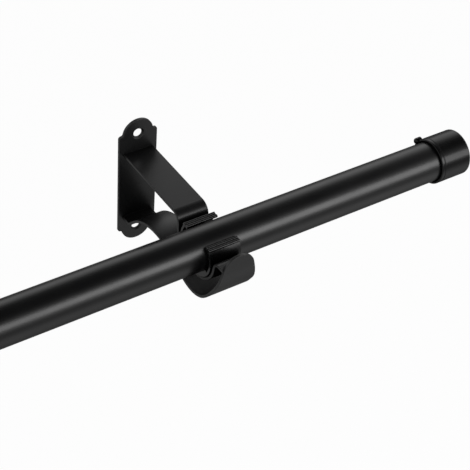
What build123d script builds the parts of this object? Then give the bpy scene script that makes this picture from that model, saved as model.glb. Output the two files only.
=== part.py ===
from build123d import *
from math import asin, atan2, cos, degrees, radians, sin, sqrt, tan
import os

# Curtain pole in two wall brackets.
# All sizes are in millimetres. X runs along the pole, -Y points into the room and Z points up.
# The origin lies on the wall, in the middle of the four screw holes.

# Pole and where it runs
pole_d = 28.0
pole_wall = 1.2
bracket_spacing = 800.0
overhang = 200.0
reach = 92.1
pole_rise = 14.6

# Sheet gauges
plate_t = 1.8
strap_t = 2.0

# Wall plate
plate_w = 28.8
screw_spacing = 80.0
screw_hole_d = 6.2
countersink_d = 8.6
ear_r = 11.3
shoulder_above_hole = 1.0
shoulder_r = 2.0
notch_r = 1.4
plate_edge_r = 0.4

# Upper arm, heights and depths counted from the pole's axis
arm_w = 22.4
arm_top = 12.1
arm_bend_r = 6.6
band_inner_r = 20.2
band_y = 0.3
band_z = 2.4
flare_r = 5.0
flange_z = 6.0
strap_edge_r = 0.4

# Lower arm, also counted from the pole's axis
root_z = -43.3
root_length = 8.1
kink_r = 3.0
rise_angle = 46.0
arch_z = -24.0
fall_angle = 25.0
cup_y = 9.9
cup_z = -35.1
cup_back_r = 19.3
cup_r = 39.7
cup_turn = 57.6
ramp = 5.2
lift_r = 32.0
cup_w = 30.0
widen_from = 14.0
widen_to = -15.7
taper_from = -11.0
tongue_top = 15.85
tongue_top_w = 18.6
blend_r = 30.0

# Liner that grips the pole
liner_overhang = 0.2
liner_inner_r = 16.2
liner_t = 1.55
lip_angle = 36.5
bead_r = 1.05
bead_gap = 0.4
bead_web = 1.2
saddle_half_angle = 60.0
seat_clearance = 0.05
peg_d = 5.0
peg_clearance = 0.1
peg_stand_out = 0.8

# End cap
cap_od = 32.3
cap_wall = 1.1
cap_length = 25.0
cap_end_t = 1.8
cap_end_r = 1.2
rim_r = 0.7
groove_r = 0.6
groove_depth = 0.3
groove_from_rim = 2.6
collar_from_rim = 5.0
cap_clearance = 0.05

# Worked out from the sizes above
pole_r = pole_d / 2
pole_y = -(plate_t + reach)
pole_z = pole_rise
pole_length = bracket_spacing + 2 * overhang
half_t = strap_t / 2
band_r = band_inner_r + half_t
arm_z = arm_top - half_t

# The band's bend hands over to the flare's bend where both have the same slope
band_trim = degrees(asin((band_z + flare_r - flange_z) / (band_r + flare_r)))

# The arch fills the corner-to-corner span between the rise from the plate and the fall to the cup
rise = radians(rise_angle)
fall = radians(fall_angle)
kink_y = reach - root_length
kink_reach = kink_r * tan(rise / 2)
rise_top_y = kink_y - (arch_z - root_z) / tan(rise)
fall_top_y = cup_y + cup_back_r * tan(fall / 2) + (arch_z - cup_z) / tan(fall)
arch_r = (rise_top_y - fall_top_y) / (tan(rise / 2) + tan(fall / 2))
arch_reach = arch_r * tan(rise / 2)
arch_start = (rise_top_y + arch_reach * cos(rise), arch_z - arch_reach * sin(rise))
fall_end = (cup_y + cup_back_r * sin(fall), cup_z + cup_back_r * (1 - cos(fall)))

# The tongue stands upright in front of the pole
turn = radians(cup_turn)
tongue_y = cup_y - cup_r * sin(turn) - ramp * cos(turn) - lift_r * (1 - sin(turn))
flange_end = tongue_y + half_t

# Its sides lean in above the widest place, and its two corners all but meet in one round tip
taper = atan2(cup_w / 2 - tongue_top_w / 2, tongue_top - taper_from)
tongue_corner_r = 0.96 * tongue_top_w / 2 * cos(taper) / (1 - sin(taper))

# Where an ear's curve meets the plate's shoulder
notch_x = sqrt(ear_r**2 - shoulder_above_hole**2)

# Liner: the outer bead caps the shell's outer corner, and the inner one lies level with it, just off the pole
liner_w = arm_w + 2 * liner_overhang
liner_mid_r = liner_inner_r + liner_t / 2
bead_z = liner_mid_r * sin(radians(lip_angle))
outer_bead_y = sqrt((liner_inner_r + liner_t) ** 2 - bead_z**2)
inner_bead_y = sqrt((pole_r + bead_gap + bead_r) ** 2 - bead_z**2)
saddle_top_r = pole_r + seat_clearance
peg_length = band_r + half_t - band_z + peg_stand_out - liner_mid_r

os.makedirs("parts", exist_ok=True)


def save(piece, name):
    """Gives a finished piece its name and writes it out."""
    piece.part.label = name
    export_step(piece.part, f"parts/{name}.step")


def side_view(x):
    """Plane across the pole: its x runs towards the wall and its y runs up, from the pole's axis."""
    return Plane(origin=(x, pole_y, pole_z), x_dir=(0, 1, 0), z_dir=(1, 0, 0))


def strap_outline(edges):
    """Edges along a strap's cut sides, without its bend lines, its thickness and its holes."""
    bends = edges.filter_by(Axis.X).filter_by(lambda e: e.length > arm_w - 0.01)
    corners = edges.filter_by(GeomType.LINE).filter_by(lambda e: strap_t - 0.01 < e.length < 1.5 * strap_t)
    return [e for e in edges if e not in bends and e not in corners]


for side, x in (("right", bracket_spacing / 2), ("left", -bracket_spacing / 2)):

    # Wall plate: a straight-sided blank with a round ear at each end
    with BuildPart() as wall_plate:
        with BuildSketch(Plane.XZ):
            with Locations((x, 0)):
                Rectangle(plate_w, screw_spacing + 2 * shoulder_above_hole)
            with Locations((x, screw_spacing / 2), (x, -screw_spacing / 2)):
                Circle(ear_r)
        extrude(amount=plate_t)
        through = wall_plate.edges().filter_by(Axis.Y).filter_by(GeomType.LINE)
        fillet(through.filter_by(lambda e: abs(abs(e.center().X - x) - plate_w / 2) < 0.01), shoulder_r)
        through = wall_plate.edges().filter_by(Axis.Y).filter_by(GeomType.LINE)
        fillet(through.filter_by(lambda e: abs(abs(e.center().X - x) - notch_x) < 0.01), notch_r)
        fillet(wall_plate.faces().sort_by(Axis.Y)[0].outer_wire().edges(), plate_edge_r)
        with Locations(Plane(origin=(x, -plate_t, 0), x_dir=(1, 0, 0), z_dir=(0, -1, 0))):
            with Locations((0, screw_spacing / 2), (0, -screw_spacing / 2)):
                CounterSinkHole(screw_hole_d / 2, countersink_d / 2, depth=plate_t, counter_sink_angle=90)
    save(wall_plate, f"wall_plate_{side}")

    # Lower arm: one strap, from the plate over the arch and round the cup to the tongue
    with BuildPart() as lower_arm:
        with BuildSketch(side_view(x)):
            with BuildLine() as lower_line:
                root = Line((reach, root_z), (kink_y + kink_reach, root_z))
                kink = JernArc(root @ 1, root % 1, kink_r, -rise_angle)
                slope = Line(kink @ 1, arch_start)
                arch = JernArc(slope @ 1, slope % 1, arch_r, rise_angle + fall_angle)
                descent = Line(arch @ 1, fall_end)
                back = JernArc(descent @ 1, descent % 1, cup_back_r, -fall_angle)
                cup = JernArc(back @ 1, back % 1, cup_r, -cup_turn)
                climb = PolarLine(cup @ 1, ramp, direction=cup % 1)
                lift = JernArc(climb @ 1, climb % 1, lift_r, cup_turn - 90)
                Line(lift @ 1, (tongue_y, tongue_top + strap_t))
            trace(lower_line.line, line_width=strap_t)
        extrude(amount=cup_w / 2, both=True)
        with BuildSketch(Plane.XY.offset(pole_z + root_z - strap_t)):
            with BuildLine():
                Polyline(
                    (x - arm_w / 2, -plate_t),
                    (x - arm_w / 2, pole_y + widen_from),
                    (x - cup_w / 2, pole_y + widen_to),
                    (x - cup_w / 2, pole_y - reach),
                    (x + cup_w / 2, pole_y - reach),
                    (x + cup_w / 2, pole_y + widen_to),
                    (x + arm_w / 2, pole_y + widen_from),
                    (x + arm_w / 2, -plate_t),
                    close=True,
                )
            make_face()
            fillet(vertices().sort_by(Axis.Y)[2:6], blend_r)
        extrude(amount=reach, mode=Mode.INTERSECT)
        with BuildSketch(Plane.XZ):
            with BuildLine():
                Polyline(
                    (x - cup_w / 2, pole_z + root_z - strap_t),
                    (x - cup_w / 2, pole_z + taper_from),
                    (x - tongue_top_w / 2, pole_z + tongue_top),
                    (x + tongue_top_w / 2, pole_z + tongue_top),
                    (x + cup_w / 2, pole_z + taper_from),
                    (x + cup_w / 2, pole_z + root_z - strap_t),
                    close=True,
                )
            make_face()
            fillet(vertices().sort_by(Axis.Y)[2:4], blend_r)
            fillet(vertices().sort_by(Axis.Y)[-2:], tongue_corner_r)
        extrude(amount=2 * reach, mode=Mode.INTERSECT)
        fillet(strap_outline(lower_arm.edges()), strap_edge_r)
    save(lower_arm, f"lower_arm_{side}")

    # Upper arm: one strap, over the drop and under the pole, flared out to the tongue
    with BuildPart() as upper_arm:
        with BuildSketch(side_view(x)):
            with BuildLine() as upper_line:
                level = Line((reach, arm_z), (band_y + band_r + arm_bend_r, arm_z))
                bend = JernArc(level @ 1, level % 1, arm_bend_r, 90)
                drop = Line(bend @ 1, (band_y + band_r, band_z))
                band = JernArc(drop @ 1, drop % 1, band_r, band_trim - 180)
                flare = JernArc(band @ 1, band % 1, flare_r, 90 - band_trim)
                Line(flare @ 1, (flange_end, flange_z))
            trace(upper_line.line, line_width=strap_t)
        extrude(amount=arm_w / 2, both=True)
        fillet(strap_outline(upper_arm.edges()), strap_edge_r)
        with BuildSketch(Plane.XY.offset(pole_z + band_z - band_r - strap_t)):
            with Locations((x, pole_y)):
                Circle(peg_d / 2 + peg_clearance)
        extrude(amount=2 * strap_t, mode=Mode.SUBTRACT)
    save(upper_arm, f"upper_arm_{side}")

    # Liner: a clip a little wider than the band, with two beads side by side along each lip
    with BuildPart() as cradle_liner:
        with BuildSketch(side_view(x)):
            with BuildLine() as shell:
                CenterArc((0, 0), liner_mid_r, 180 - lip_angle, 180 + 2 * lip_angle)
            trace(shell.line, line_width=liner_t)
            for way in (1, -1):
                with BuildLine() as web:
                    Line((way * inner_bead_y, bead_z), (way * outer_bead_y, bead_z))
                trace(web.line, line_width=bead_web)
                with Locations((way * inner_bead_y, bead_z), (way * outer_bead_y, bead_z)):
                    Circle(bead_r)
        extrude(amount=liner_w / 2, both=True)
        with BuildSketch(side_view(x)):
            with BuildLine() as saddle:
                CenterArc((0, 0), (saddle_top_r + liner_mid_r) / 2, 270 - saddle_half_angle, 2 * saddle_half_angle)
            trace(saddle.line, line_width=liner_mid_r - saddle_top_r)
        extrude(amount=liner_w / 2, both=True)
        with BuildSketch(Plane.XY.offset(pole_z - liner_mid_r)):
            with Locations((x, pole_y)):
                Circle(peg_d / 2)
        extrude(amount=-peg_length)
    save(cradle_liner, f"cradle_liner_{side}")

# Pole: a plain round tube
with BuildPart() as pole:
    with BuildSketch(side_view(-pole_length / 2)):
        Circle(pole_r)
        Circle(pole_r - pole_wall, mode=Mode.SUBTRACT)
    extrude(amount=pole_length)
save(pole, "pole")

# End caps: cups with a beaded rim and an inner collar that grips the tube
for side, way in (("right", 1), ("left", -1)):
    end_x = way * (pole_length / 2 + cap_end_t)
    cap_plane = Plane(origin=(end_x, pole_y, pole_z), x_dir=(-way, 0, 0), z_dir=(0, -way, 0))
    with BuildPart() as end_cap:
        with BuildSketch(cap_plane):
            with BuildLine():
                Polyline(
                    (0, 0),
                    (0, cap_od / 2),
                    (cap_length, cap_od / 2),
                    (cap_length, cap_od / 2 - cap_wall),
                    (cap_length - collar_from_rim, cap_od / 2 - cap_wall),
                    (cap_length - collar_from_rim, pole_r + cap_clearance),
                    (cap_end_t, pole_r + cap_clearance),
                    (cap_end_t, 0),
                    close=True,
                )
            make_face()
            with Locations((cap_length - groove_from_rim, cap_od / 2 + groove_r - groove_depth)):
                Circle(groove_r, mode=Mode.SUBTRACT)
        revolve(axis=Axis((end_x, pole_y, pole_z), (1, 0, 0)))
        rounds = end_cap.edges().filter_by(GeomType.CIRCLE).filter_by(lambda e: e.radius > cap_od / 2 - 0.01)
        fillet(rounds.filter_by(lambda e: abs(e.center().X - end_x) < 0.01), cap_end_r)
        rounds = end_cap.edges().filter_by(GeomType.CIRCLE).filter_by(lambda e: e.radius > cap_od / 2 - 0.01)
        fillet(rounds.filter_by(lambda e: abs(e.center().X - end_x + way * cap_length) < 0.01), rim_r)
    save(end_cap, f"end_cap_{side}")
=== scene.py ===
# %% [markdown]
# # A black curtain pole in its wall brackets
# The solids come ready made from the CAD step: a round tube, two end caps and two brackets, each bracket
# bent from two steel straps on a stamped wall plate. Blender adds what steel and plastic look like.
# Everything is in metres and in the CAD's own frame, so no piece has to be fitted: the pole runs along X,
# the wall is the plane Y = 0, and Z points up. The first lines load the solids and note how large they are.

# %% Load the solids
import bmesh
import bpy
from math import cos, pi, radians, sin
from mathutils import Matrix, Vector


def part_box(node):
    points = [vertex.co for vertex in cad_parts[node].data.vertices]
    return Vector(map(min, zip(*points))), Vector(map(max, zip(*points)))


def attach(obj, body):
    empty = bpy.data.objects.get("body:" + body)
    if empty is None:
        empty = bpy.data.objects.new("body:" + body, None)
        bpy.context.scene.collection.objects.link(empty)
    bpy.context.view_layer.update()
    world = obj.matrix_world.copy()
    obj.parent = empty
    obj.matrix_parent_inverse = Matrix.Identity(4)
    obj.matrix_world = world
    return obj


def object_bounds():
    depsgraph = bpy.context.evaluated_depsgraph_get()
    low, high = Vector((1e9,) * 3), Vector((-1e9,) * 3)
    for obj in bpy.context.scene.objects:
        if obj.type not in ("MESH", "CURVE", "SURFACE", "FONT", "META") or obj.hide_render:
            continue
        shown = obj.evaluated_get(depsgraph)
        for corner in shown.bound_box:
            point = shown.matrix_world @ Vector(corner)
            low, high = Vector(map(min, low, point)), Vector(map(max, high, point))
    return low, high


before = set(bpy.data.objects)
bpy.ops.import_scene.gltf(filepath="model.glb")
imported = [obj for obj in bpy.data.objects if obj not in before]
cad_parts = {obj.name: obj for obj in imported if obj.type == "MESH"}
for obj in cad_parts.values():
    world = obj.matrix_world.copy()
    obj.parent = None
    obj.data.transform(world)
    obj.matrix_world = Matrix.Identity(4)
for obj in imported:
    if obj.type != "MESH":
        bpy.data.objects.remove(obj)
cad_low, cad_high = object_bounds()
node_names = sorted(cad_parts)
print("nodes:", ", ".join(node_names))
print("size in mm:", [round(1000 * side, 1) for side in cad_high - cad_low])

# %% [markdown]
# ## Where things are
# Two places steer the camera and the lamp: the pole's axis, and the middle of the right-hand bracket on it.
# Both are read from the solids' boxes. That way a change of size in the CAD carries the whole studio along.

# %% Find the pole's axis and the right-hand bracket
pole_low, pole_high = (Vector(corner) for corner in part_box("pole"))
plate_low, plate_high = (Vector(corner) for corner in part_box("wall_plate_right"))
pole_middle = (pole_low + pole_high) / 2
bracket = Vector(((plate_low.x + plate_high.x) / 2, pole_middle.y, pole_middle.z))
print("bracket on the pole's axis, in mm:", [round(1000 * value, 1) for value in bracket])

# %% [markdown]
# ## The camera
# The view is a long lens from the front left, 41 degrees above the pole, with the camera tipped 5 degrees.
# A camera can be aimed with a Track To constraint, but then its roll is awkward to set. Here the three
# camera directions are worked out from the azimuth, the elevation and the roll, and go straight into its
# matrix. The offset says how far right of the bracket, above it and in front of it the camera stands.

# %% Place the camera
camera_azimuth = radians(-36.30)
camera_elevation = radians(41.37)
camera_roll = radians(5.09)
camera_offset = Vector((0.01538, 0.00577, 0.83304))
camera_lens = 101.3

level_right = Vector((cos(camera_azimuth), sin(camera_azimuth), 0))
back = Vector((
    sin(camera_azimuth) * cos(camera_elevation),
    -cos(camera_azimuth) * cos(camera_elevation),
    sin(camera_elevation),
))
level_up = back.cross(level_right)
right = cos(camera_roll) * level_right + sin(camera_roll) * level_up
up = cos(camera_roll) * level_up - sin(camera_roll) * level_right

camera_data = bpy.data.cameras.new("camera")
camera_data.lens = camera_lens
camera = bpy.data.objects.new("camera", camera_data)
camera.matrix_world = Matrix((right, up, back)).transposed().to_4x4()
camera.location = bracket + right * camera_offset.x + up * camera_offset.y + back * camera_offset.z
bpy.context.scene.collection.objects.link(camera)
bpy.context.scene.camera = camera
bpy.context.scene.view_settings.view_transform = "Standard"
print("camera stands", round((camera.location - bracket).length, 3), "m from the bracket")

# %% [markdown]
# ## Helpers for node trees
# Every material below is a small node tree. Writing one by hand takes three calls a node, so one helper
# makes a node, sets its properties and fills its inputs. An input may be a number, a colour, or the
# output of an earlier node, and in that case the helper links the two. Sums and the place on the object
# come up again and again, so they have a short helper each.

# %% Make a node and fill its inputs
def node(tree, kind, inputs=(), **properties):
    """Adds a node. Inputs are pairs of a socket's name or number and a value or an output socket."""
    made = tree.nodes.new(kind)
    for name, value in properties.items():
        setattr(made, name, value)
    for socket, value in inputs:
        if isinstance(value, bpy.types.NodeSocket):
            tree.links.new(value, made.inputs[socket])
        else:
            made.inputs[socket].default_value = value
    return made


def maths(tree, operation, *values):
    """The result of a Math node on one, two or three values."""
    return node(tree, "ShaderNodeMath", enumerate(values), operation=operation).outputs[0]


def object_place(tree):
    """The place on the object, in its own metres."""
    return node(tree, "ShaderNodeTexCoord").outputs["Object"]


print("helpers ready")

# %% [markdown]
# ## Sockets for a node group
# A wear effect that several finishes share is a node group: built once, and placed in each material with
# that material's own numbers. The group's named inputs and outputs are made first, and the nodes inside are
# linked between them.

# %% Give a group its sockets
def sockets(tree, inputs, outputs):
    """Makes a group's inputs, each with a starting number, and its outputs. All of them are numbers."""
    for name, value in inputs.items():
        made = tree.interface.new_socket(name, in_out="INPUT", socket_type="NodeSocketFloat")
        made.default_value = value
    for name in outputs:
        tree.interface.new_socket(name, in_out="OUTPUT", socket_type="NodeSocketFloat")
    return tree.nodes.new("NodeGroupInput").outputs, tree.nodes.new("NodeGroupOutput").inputs


print("group sockets ready")

# %% [markdown]
# ## Powder coat skin
# Powder coat is a plastic powder that melts on the warm steel. It never flows quite flat: the surface keeps
# soft bumps a millimetre or two across, with finer ones in between. Noise in object space gives both, and
# object space is in metres, so the bumps keep their real size on every piece. The group puts out a height
# for a Bump node and a cloudy mask that lets the roughness drift a little.

# %% Build the powder coat group
def make_coat_skin():
    tree = bpy.data.node_groups.new("coat_skin", "ShaderNodeTree")
    given, result = sockets(tree, {"Bump Size": 0.0016, "Cloud Size": 0.02}, ["Height", "Cloud"])
    place = object_place(tree)
    bumps_per_metre = maths(tree, "DIVIDE", 1.0, given["Bump Size"])
    bump_noise = [("Vector", place), ("Scale", bumps_per_metre), ("Detail", 3.0), ("Roughness", 0.45)]
    bumps = node(tree, "ShaderNodeTexNoise", bump_noise).outputs[0]
    clouds_per_metre = maths(tree, "DIVIDE", 1.0, given["Cloud Size"])
    cloud_noise = [("Vector", place), ("Scale", clouds_per_metre), ("Detail", 2.0)]
    clouds = node(tree, "ShaderNodeTexNoise", cloud_noise).outputs[0]
    tree.links.new(bumps, result["Height"])
    tree.links.new(clouds, result["Cloud"])
    return tree


coat_skin = make_coat_skin()
print("coat_skin:", len(coat_skin.nodes), "nodes")

# %% [markdown]
# ## Ramps
# A mask is a number between 0 and 1, and most masks start as some other number: an angle, a height, a share
# of open sky. The Map Range node turns one range into another and holds still past its ends.

# %% Turn one range into another
def ramp(tree, value, start, end, bottom=0.0, top=1.0, way="LINEAR"):
    """A number that goes from bottom to top while the value goes from start to end, and no further."""
    ends = [("Value", value), ("From Min", start), ("From Max", end), ("To Min", bottom), ("To Max", top)]
    return node(tree, "ShaderNodeMapRange", ends, interpolation_type=way).outputs[0]


print("ramp ready")

# %% [markdown]
# ## Painted edge highlights
# The edges get a lighter body colour: a painted highlight that stands in for the light a rounded edge
# catches. The mask has to know where an edge is. Pointiness reads that from the mesh's corners, but a flat
# strap has no corners in its middle. The
# Bevel node looks round each point instead: where its softened normal leaves the true one, an edge is near.
# How well the two agree is their dot product, which is 1 on a flat face. Noise then breaks the painted
# highlight up into patches.

# %% Build the edge group
edge_starts = 0.98
edge_is_full = 0.80
patches_per_metre = 220.0


def make_edge_highlight():
    tree = bpy.data.node_groups.new("edge_highlight", "ShaderNodeTree")
    given, result = sockets(tree, {"Reach": 0.0009, "Break Up": 0.5}, ["Edge"])
    soft = node(tree, "ShaderNodeBevel", [("Radius", given["Reach"])], samples=6).outputs[0]
    true = node(tree, "ShaderNodeNewGeometry").outputs["True Normal"]
    agreement = node(tree, "ShaderNodeVectorMath", [(0, soft), (1, true)], operation="DOT_PRODUCT")
    edge = ramp(tree, agreement.outputs["Value"], edge_starts, edge_is_full)
    patch_noise = [("Vector", object_place(tree)), ("Scale", patches_per_metre), ("Detail", 3.0)]
    patches = node(tree, "ShaderNodeTexNoise", patch_noise).outputs[0]
    unbroken = maths(tree, "SUBTRACT", 1.0, given["Break Up"])
    broken_up = maths(tree, "MULTIPLY_ADD", patches, given["Break Up"], unbroken)
    # the painted highlight mask along the edges, broken up by noise
    tree.links.new(maths(tree, "MULTIPLY", edge, broken_up), result["Edge"])
    return tree


edge_highlight = make_edge_highlight()
print("edge_highlight:", len(edge_highlight.nodes), "nodes")

# %% [markdown]
# ## Painted shade in hollows
# Corners, recesses and narrow gaps get painted shade: their shine is taken away, which stands in for the
# shade that falls there and for the contact shadow where two parts meet. The Ambient
# Occlusion node finds such places: it looks how much of the sky above a point is closed off within a reach.
# That reach differs from finish to finish, so it is an input of the group. So is the share of open sky at
# which a place counts as deepest.

# %% Build the hollow group
hollow_shade_starts = 0.74


def make_hollow_shade():
    tree = bpy.data.node_groups.new("hollow_shade", "ShaderNodeTree")
    given, result = sockets(tree, {"Reach": 0.02, "Deepest": 0.5}, ["Hollow"])
    # painted shade: the less open sky a point has, the stronger the mask
    sky = node(tree, "ShaderNodeAmbientOcclusion", [("Distance", given["Reach"])], samples=12)
    tree.links.new(ramp(tree, sky.outputs["AO"], hollow_shade_starts, given["Deepest"]), result["Hollow"])
    return tree


hollow_shade = make_hollow_shade()
print("hollow:", len(hollow_shade.nodes), "nodes")

# %% [markdown]
# ## Mixes
# The Mix node blends two numbers or two colours by a mask. Its sockets for numbers and for colours share
# their names, so they are picked by their place in the node.

# %% Blend two numbers or two colours
def mixed_number(tree, share, first, second):
    """The first number where the share is 0, and the second where it is 1."""
    return node(tree, "ShaderNodeMix", [(0, share), (2, first), (3, second)], data_type="FLOAT").outputs[0]


def mixed_colour(tree, share, first, second):
    """The first colour where the share is 0, and the second where it is 1."""
    return node(tree, "ShaderNodeMix", [(0, share), (6, first), (7, second)], data_type="RGBA").outputs[2]


print("mixes ready")

# %% [markdown]
# ## Satin finishes
# All the finishes here are one idea with other numbers: a nearly black body colour with a painted highlight
# along the edges, a roughness that drifts with the clouds, a shallow bump, and painted shade in the hollows,
# which then mirror hardly anything. Two inputs paint that shade. A higher roughness spreads what a hollow
# mirrors. A higher Metallic takes most of it away, because a metal mirrors in its own colour, and here that
# is nearly black. One function builds the tree, and each finish says its own values. What never changes over
# the surface goes straight onto the shader's sockets.

# %% Build a satin finish
# painted shade in hollows: they turn rough and metallic, so they mirror hardly anything
hollow_shade_rough = 0.7
hollow_shade_metal = 0.8
cloud_low = 0.3
cloud_high = 0.7


def satin(
    name, colour, highlight_colour, rough, rough_drift, bump_size, bump_depth, index, shade_reach, deepest
):
    """A near-black satin material. Sizes and depths are in metres."""
    made = bpy.data.materials.new(name)
    made.use_nodes = True
    tree = made.node_tree
    skin = node(tree, "ShaderNodeGroup", node_tree=coat_skin)
    skin.inputs["Bump Size"].default_value = bump_size
    edge_highlight_node = node(tree, "ShaderNodeGroup", node_tree=edge_highlight)
    deep = node(tree, "ShaderNodeGroup", node_tree=hollow_shade)
    deep.inputs["Reach"].default_value = shade_reach
    deep.inputs["Deepest"].default_value = deepest
    # painted highlight: the edge mask lightens the body colour along every edge
    body = mixed_colour(tree, edge_highlight_node.outputs["Edge"], (*colour, 1), (*highlight_colour, 1))
    smoothest, roughest = rough - rough_drift, rough + rough_drift
    drift = ramp(tree, skin.outputs["Cloud"], cloud_low, cloud_high, smoothest, roughest)
    # painted shade: the hollow mask raises roughness and Metallic
    roughness = mixed_number(tree, deep.outputs["Hollow"], drift, hollow_shade_rough)
    shade_dulling = maths(tree, "MULTIPLY", deep.outputs["Hollow"], hollow_shade_metal)
    skin_height = [("Height", skin.outputs["Height"]), ("Distance", bump_depth), ("Strength", 1.0)]
    bump = node(tree, "ShaderNodeBump", skin_height).outputs["Normal"]
    shader = tree.nodes["Principled BSDF"]
    tree.links.new(body, shader.inputs["Base Color"])
    tree.links.new(roughness, shader.inputs["Roughness"])
    tree.links.new(shade_dulling, shader.inputs["Metallic"])
    tree.links.new(bump, shader.inputs["Normal"])
    shader.inputs["IOR"].default_value = index
    return made


print("satin finish ready")

# %% [markdown]
# ## The four finishes
# The brackets are powder coated: satin, with a pale painted highlight on the edges and painted shade over
# wide hollows. The tube is lacquered, so it is smoother and its edges get hardly any painted highlight. The
# caps have a glossier and less even coat. The clips that grip the tube are moulded plastic with a finer
# grain. On the tube, the caps and the clips only narrow gaps get painted shade, such as a contact shadow
# beside a clip's lip, because there the mask reaches no further than a millimetre or two.

# %% Mix the four finishes
# each finish's edge colour is its painted highlight
steel_coat = satin(
    "steel_coat",
    colour=(0.005, 0.005, 0.0052),
    highlight_colour=(0.055, 0.055, 0.0555),
    rough=0.34,
    rough_drift=0.03,
    bump_size=0.0016,
    bump_depth=0.000012,
    index=1.38,
    shade_reach=0.03,
    deepest=0.54,
)
tube_coat = satin(
    "tube_coat",
    colour=(0.0025, 0.0025, 0.0027),
    highlight_colour=(0.008, 0.008, 0.0085),
    rough=0.30,
    rough_drift=0.02,
    bump_size=0.0024,
    bump_depth=0.000008,
    index=1.45,
    shade_reach=0.0024,
    deepest=0.6,
)
cap_coat = satin(
    "cap_coat",
    colour=(0.0015, 0.0015, 0.0016),
    highlight_colour=(0.010, 0.010, 0.0103),
    rough=0.20,
    rough_drift=0.05,
    bump_size=0.0024,
    bump_depth=0.000008,
    index=1.32,
    shade_reach=0.0015,
    deepest=0.5,
)
moulded = satin(
    "moulded",
    colour=(0.0015, 0.0015, 0.0016),
    highlight_colour=(0.020, 0.020, 0.020),
    rough=0.26,
    rough_drift=0.04,
    bump_size=0.0007,
    bump_depth=0.000006,
    index=1.40,
    shade_reach=0.0012,
    deepest=0.5,
)
print("finishes:", steel_coat.name, tube_coat.name, cap_coat.name, moulded.name)

# %% [markdown]
# ## Painted shade in the lip grooves
# Each lip of a clip ends in two beads, with a groove about a millimetre wide between them. Hardly any light
# gets into it, so its shade is painted in as a thin black line along the lip. It lies a known
# distance in front of and behind the pole's axis, so two coordinates in object space are enough to find it.
# It is darkened in the same way as a hollow, on top of the painted shade that the moulded finish already
# has. The dark line fades out just past the groove's edges, so that it stays soft.

# %% Darken the groove between the beads
groove_offset = 0.01315
groove_half_width = 0.0005
groove_fade = 1.3
# painted shade: the groove's near-black colour and high Metallic stand in for the shade inside it
groove_shade_colour = (0.0006, 0.0006, 0.0006, 1)
groove_shade_metal = 0.95


def paint_groove_shade(made):
    tree = made.node_tree
    shader = tree.nodes["Principled BSDF"]
    colour, shade_dulling = (shader.inputs[name].links[0].from_socket for name in ("Base Color", "Metallic"))
    spot = node(tree, "ShaderNodeSeparateXYZ", [(0, object_place(tree))]).outputs
    from_axis = maths(tree, "ABSOLUTE", maths(tree, "SUBTRACT", spot["Y"], pole_middle.y))
    from_groove = maths(tree, "ABSOLUTE", maths(tree, "SUBTRACT", from_axis, groove_offset))
    within = ramp(tree, from_groove, groove_fade * groove_half_width, groove_half_width)
    above = maths(tree, "GREATER_THAN", spot["Z"], pole_middle.z)
    groove = maths(tree, "MULTIPLY", within, above)
    # painted shade: the groove gets a near-black colour and a high Metallic
    tree.links.new(mixed_colour(tree, groove, colour, groove_shade_colour), shader.inputs["Base Color"])
    tree.links.new(mixed_number(tree, groove, shade_dulling, groove_shade_metal), shader.inputs["Metallic"])


paint_groove_shade(moulded)
print("groove darkened on:", moulded.name)

# %% [markdown]
# ## Dress the solids
# Each solid keeps its mesh and gets its finish in its own slot. The left and the right side share one
# finish, so the end of a name doesn't matter.

# %% Give each node its finish
finish_of = {
    "pole": tube_coat,
    "end_cap": cap_coat,
    "cradle_liner": moulded,
    "wall_plate": steel_coat,
    "lower_arm": steel_coat,
    "upper_arm": steel_coat,
}
for name in node_names:
    kind = name.removesuffix("_right").removesuffix("_left")
    for slot in bpy.data.objects[name].material_slots:
        slot.material = finish_of[kind]
    print(f"{name}: {finish_of[kind].name}")

# %% [markdown]
# ## The lugs on the caps
# A small round lug stands on each cap's open rim, on the wall side, where it just breaks the rim's outline.
# A little hole in its face shows as a dark dot with a paler ring. Such a lug could be cut from a cylinder
# with a bevel and a boolean. Here it is one profile spun about the lug's own axis, which runs along the
# tube: a hole, a domed face, and a straight side that sinks into the cap. A spin gives a closed mesh with
# even faces in one step, and the dome's curve is part of an ellipse. The lug's place is given as an angle
# above level, a distance from the pole's axis, and how far its face stands out past the cap's rim.

# %% Spin a lug for each cap
lug_above_level = radians(31)
lug_from_axis = 0.0163
lug_past_rim = 0.0019
lug_radius = 0.0023
lug_length = 0.0052
dome_height = 0.0018
dome_turns = [radians(turn) for turn in (75, 60, 45, 30, 15, 0)]
hole_radius = 0.0006
hole_depth = 0.0012
spin_steps = 40
weld_distance = 0.000001
sharp_angle = radians(35)


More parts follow.
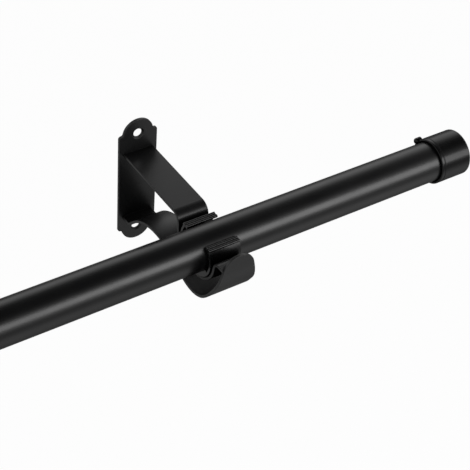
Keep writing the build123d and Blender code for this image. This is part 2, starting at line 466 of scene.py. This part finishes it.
def make_lug(name, rim, outward):
    """A lug whose face looks along outward, 1 or -1 on the X axis."""
    hole = [(0, -hole_depth), (hole_radius, -hole_depth)]
    dome = [(lug_radius * cos(turn), dome_height * (sin(turn) - 1)) for turn in dome_turns]
    foot = [(lug_radius, -lug_length), (0, -lug_length)]
    build = bmesh.new()
    profile = [build.verts.new((radius, 0, height)) for radius, height in hole + dome + foot]
    lines = [build.edges.new(pair) for pair in zip(profile, profile[1:])]
    bmesh.ops.spin(
        build,
        geom=profile + lines,
        cent=(0, 0, 0),
        axis=(0, 0, 1),
        angle=2 * pi,
        steps=spin_steps,
    )
    bmesh.ops.remove_doubles(build, verts=build.verts, dist=weld_distance)
    bmesh.ops.recalc_face_normals(build, faces=build.faces)
    mesh = bpy.data.meshes.new(name)
    build.to_mesh(mesh)
    build.free()
    mesh.shade_smooth()
    mesh.set_sharp_from_angle(angle=sharp_angle)
    mesh.materials.append(cap_coat)
    made = bpy.data.objects.new(name, mesh)
    centre = pole_middle + lug_from_axis * Vector((0, cos(lug_above_level), sin(lug_above_level)))
    centre.x = rim + outward * lug_past_rim
    made.matrix_world = Matrix.Translation(centre) @ Matrix.Rotation(outward * pi / 2, 4, "Y")
    bpy.context.scene.collection.objects.link(made)
    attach(made, "root")
    return made


for side, outward in (("right", -1), ("left", 1)):
    cap_low, cap_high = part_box(f"end_cap_{side}")
    rim = cap_low[0] if outward < 0 else cap_high[0]
    lug = make_lug(f"cap_lug_{side}", rim, outward)
    print(f"{lug.name}: {len(lug.data.polygons)} faces, x in mm {round(1000 * lug.location.x, 1)}")

# %% [markdown]
# ## The floor
# The pole hangs in a white studio. A white floor could be made white by strong lamps, but these would also
# bleach the object. Instead the floor glows for the camera, and a part of its plain pale surface always
# shows and keeps the object's shadow. In reflections the floor is a pool of light in front of the pole that
# fades below it and behind it. Faces that look forward, such as the tongues, show that pool evenly, and the
# steep undersides, which mirror most, meet the faded part and stay dark. The floor's left side glows a
# little as well, because the straps' cut edges look that way. Each fade below is a pair of places in
# metres, where it starts and where it ends, and a glow of 1 is white.

# %% Lay the floor
floor_drop = 0.5
floor_size = 60.0
floor_colour = (0.8, 0.8, 0.8, 1)
white = (1, 1, 1, 1)
camera_share = 0.96
fade_behind = (-0.68, 0.02)
fade_ahead = (-0.6, -1.8)
fade_left = (0.35, -0.1)
pool_glow = 0.78
behind_glow = 0.13
ahead_share = 0.5
left_glow = 0.55


def make_floor_finish():
    made = bpy.data.materials.new("studio_floor")
    made.use_nodes = True
    tree = made.node_tree
    tree.nodes.remove(tree.nodes["Principled BSDF"])
    pale = node(tree, "ShaderNodeBsdfDiffuse", [("Color", floor_colour)]).outputs[0]
    path = node(tree, "ShaderNodeLightPath").outputs
    across, depth = node(tree, "ShaderNodeSeparateXYZ", [(0, object_place(tree))]).outputs[:2]
    behind = ramp(tree, depth, *fade_behind, pool_glow, behind_glow, way="SMOOTHSTEP")
    ahead = ramp(tree, depth, *fade_ahead, 1.0, ahead_share, way="SMOOTHSTEP")
    left = ramp(tree, across, *fade_left, 0.0, left_glow, way="SMOOTHSTEP")
    lit = maths(tree, "MAXIMUM", maths(tree, "MULTIPLY", behind, ahead), left)
    strength = maths(tree, "MAXIMUM", lit, path["Is Camera Ray"])
    glow = node(tree, "ShaderNodeEmission", [("Color", white), ("Strength", strength)]).outputs[0]
    seen = maths(tree, "MULTIPLY", path["Is Camera Ray"], camera_share)
    reflected = maths(tree, "MAXIMUM", path["Is Glossy Ray"], path["Is Transmission Ray"])
    share = maths(tree, "MAXIMUM", seen, reflected)
    both = node(tree, "ShaderNodeMixShader", [(0, share), (1, pale), (2, glow)]).outputs[0]
    tree.links.new(both, tree.nodes["Material Output"].inputs["Surface"])
    return made


def make_floor():
    half = floor_size / 2
    corners = [(-half, -half, 0), (half, -half, 0), (half, half, 0), (-half, half, 0)]
    mesh = bpy.data.meshes.new("floor")
    mesh.from_pydata(corners, [], [(0, 1, 2, 3)])
    mesh.materials.append(make_floor_finish())
    made = bpy.data.objects.new("floor", mesh)
    made.location.z = cad_low.z - floor_drop
    bpy.context.scene.collection.objects.link(made)
    return made


floor = make_floor()
print("floor at", round(floor.location.z, 3), "m")

# %% [markdown]
# ## The room
# A satin tube is a long mirror: across its width it shows the room from the floor in front, over the lamp
# and the ceiling, to the far wall. The room here is white round the horizon in front and dark overhead. The
# dark ceiling draws the black band along the top of the tube. On the wall side the light stands higher and
# is stronger, which gives the tube its pale upper rim and the arms their grey tops. Two gradients over the
# height of the world do this without any panels that could stand in the way of another view. Each fade is a
# pair of heights, from 0 at the horizon to 1 straight overhead, and the last one runs from front to back.

# %% Build the room
fade_to_ceiling = (0.52, 0.82)
fade_up_the_wall = (0.0, 0.35)
fade_to_wall_side = (-0.2, 0.3)
ceiling_glow = 0.03
wall_foot_glow = 0.25
wall_glow = 1.45


def make_room():
    world = bpy.data.worlds.new("room")
    world.use_nodes = True
    bpy.context.scene.world = world
    tree = world.node_tree
    towards = node(tree, "ShaderNodeTexCoord").outputs["Generated"]
    direction = node(tree, "ShaderNodeSeparateXYZ", [(0, towards)]).outputs
    front = ramp(tree, direction["Z"], *fade_to_ceiling, 1.0, ceiling_glow, way="SMOOTHSTEP")
    rise = ramp(tree, direction["Z"], *fade_up_the_wall, wall_foot_glow, wall_glow, way="SMOOTHSTEP")
    wall = maths(tree, "MULTIPLY", front, rise)
    room = mixed_number(tree, ramp(tree, direction["Y"], *fade_to_wall_side), front, wall)
    camera_ray = node(tree, "ShaderNodeLightPath").outputs["Is Camera Ray"]
    background = tree.nodes["Background"]
    background.inputs["Color"].default_value = white
    tree.links.new(maths(tree, "MAXIMUM", room, camera_ray), background.inputs["Strength"])
    return world


print("world:", make_room().name)

# %% [markdown]
# ## The lamp
# One softbox stands in front of the pole, to the right, about 22 degrees above it. Its height sets how wide
# the highlight is. Its length runs along the pole, so the highlight is one long soft line. It is strongest
# near the bracket, which the lamp faces, and weakens towards both ends.

# %% Hang the softbox
def softbox(name, towards, distance, length, height, watts):
    """A rectangular lamp that faces the bracket from a direction, with its length along the pole."""
    data = bpy.data.lights.new(name, "AREA")
    data.shape = "RECTANGLE"
    data.size = length
    data.size_y = height
    data.energy = watts
    lamp = bpy.data.objects.new(name, data)
    out = Vector(towards).normalized()
    along = (Vector((1, 0, 0)) - out * out.x).normalized()
    lamp.matrix_world = Matrix((along, out.cross(along), out)).transposed().to_4x4()
    lamp.location = bracket + out * distance
    bpy.context.scene.collection.objects.link(lamp)
    return lamp


key = softbox("key_softbox", (0.44, -0.82, 0.37), distance=2.0, length=1.5, height=0.85, watts=18.0)
print("key softbox at", [round(value, 2) for value in key.location])
